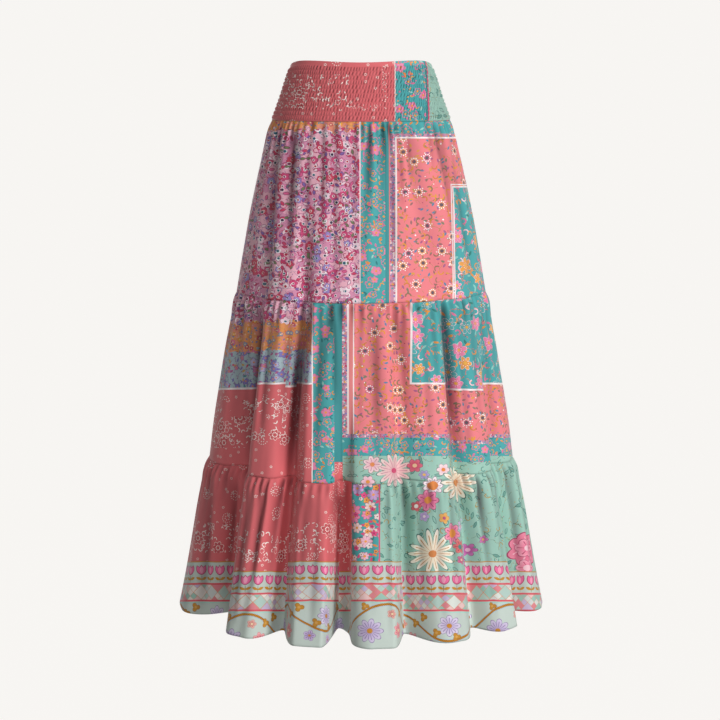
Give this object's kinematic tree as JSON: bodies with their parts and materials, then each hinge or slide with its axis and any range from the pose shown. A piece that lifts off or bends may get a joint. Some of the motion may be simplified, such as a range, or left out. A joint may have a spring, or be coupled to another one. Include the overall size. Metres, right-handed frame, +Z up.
{
  "type": "maxi skirt",
  "caption": "Long tiered skirt as worn, hollow and open at waist and hem: a wide shirred elastic waistband and gathered tiers of printed woven cloth that fall in deep folds.",
  "frame": {"origin": "the middle of the waist opening, level with the waistband's upper edge, where the wearer's waist holds the skirt", "axes": "+Z up out of the waist, -Y to the skirt's front, +X to the right of a viewer who faces the front"},
  "size_m": [0.7035, 0.569, 1.0311],
  "materials": {
    "waistband_cloth": "matte printed viscose, shirred on elastic thread",
    "top_tier_cloth": "matte printed viscose",
    "middle_tier_cloth": "matte printed viscose",
    "hem_tier_cloth": "matte printed viscose"
  },
  "bodies": {
    "root": {"waistband_front": "waistband_cloth", "waistband_back": "waistband_cloth", "tier_1_front": "top_tier_cloth", "tier_1_back": "top_tier_cloth", "tier_2_front": "middle_tier_cloth", "tier_2_back": "middle_tier_cloth", "tier_3_front": "hem_tier_cloth", "tier_3_back": "hem_tier_cloth"}
  },
  "joints": []
}
